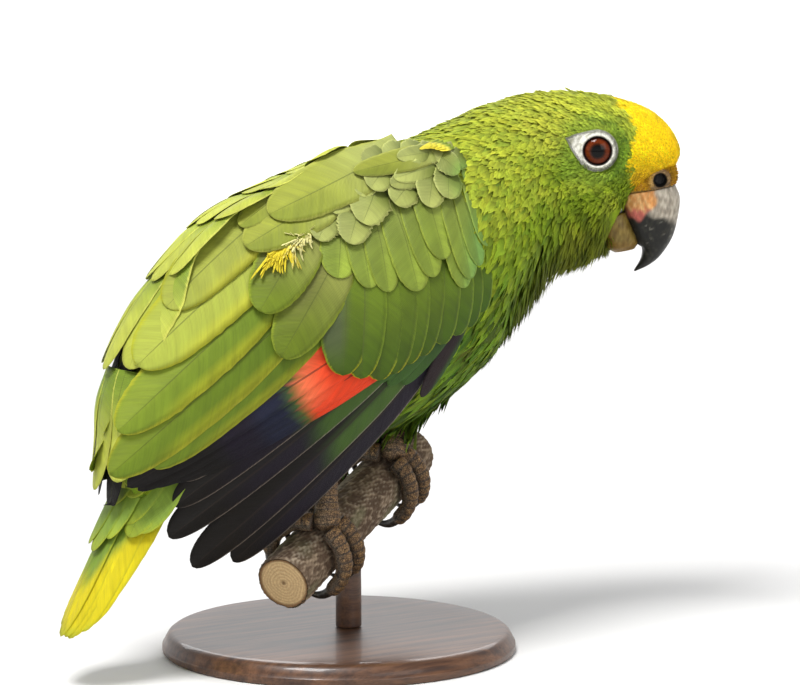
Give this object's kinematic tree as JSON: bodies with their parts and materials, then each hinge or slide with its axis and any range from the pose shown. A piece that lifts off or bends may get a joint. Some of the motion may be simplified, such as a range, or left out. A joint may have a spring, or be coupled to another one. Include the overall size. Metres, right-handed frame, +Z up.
{
  "type": "amazon parrot",
  "caption": "Still life-size green amazon parrot with a yellow forehead, crouching on a short cut branch over a plain display stand.",
  "frame": {"origin": "centre of the underside of the display stand, on the surface that it rests on", "axes": "+Z up, +X the way that the body faces, +Y towards the bird's left"},
  "size_m": [0.2612, 0.136, 0.2115],
  "materials": {
    "green_feather": "matte, green contour feathers with paler rims",
    "flight_feather": "satin, blackish flight feathers with green, violet and red webs",
    "tail_feather": "satin, green tail feathers with yellow ends",
    "cere": "matte bare skin round the nostrils",
    "bill_horn": "satin horn, dark with a pale base",
    "bare_skin": "wrinkled white bare skin",
    "eye": "wet gloss, orange-brown iris and black pupil",
    "foot_scale": "matte, grey-brown scales",
    "claw": "satin dark horn",
    "bark": "rough bark, pale cut ends",
    "stand": "dark satin wood base and steel-grey rod"
  },
  "bodies": {
    "root": {"bill_lower": "bill_horn", "bill_upper": "bill_horn", "cere": "cere", "claw_left_front_inner": "claw", "claw_left_front_outer": "claw", "claw_left_rear_inner": "claw", "claw_left_rear_outer": "claw", "claw_right_front_inner": "claw", "claw_right_front_outer": "claw", "claw_right_rear_inner": "claw", "claw_right_rear_outer": "claw", "eye_left": "eye", "eye_right": "eye", "eyelid_left": "bare_skin", "eyelid_right": "bare_skin", "head": "green_feather", "neck": "green_feather", "perch": "bark", "shank_left": "foot_scale", "shank_right": "foot_scale", "stand_base": "stand", "stand_rod": "stand", "tail": "tail_feather", "thigh_left": "green_feather", "thigh_right": "green_feather", "toe_left_front_inner": "foot_scale", "toe_left_front_outer": "foot_scale", "toe_left_rear_inner": "foot_scale", "toe_left_rear_outer": "foot_scale", "toe_right_front_inner": "foot_scale", "toe_right_front_outer": "foot_scale", "toe_right_rear_inner": "foot_scale", "toe_right_rear_outer": "foot_scale", "torso": "green_feather", "wing_left_coverts": "green_feather", "wing_left_primaries": "flight_feather", "wing_left_secondaries": "green_feather", "wing_right_coverts": "green_feather", "wing_right_primaries": "flight_feather", "wing_right_secondaries": "green_feather"}
  },
  "joints": []
}
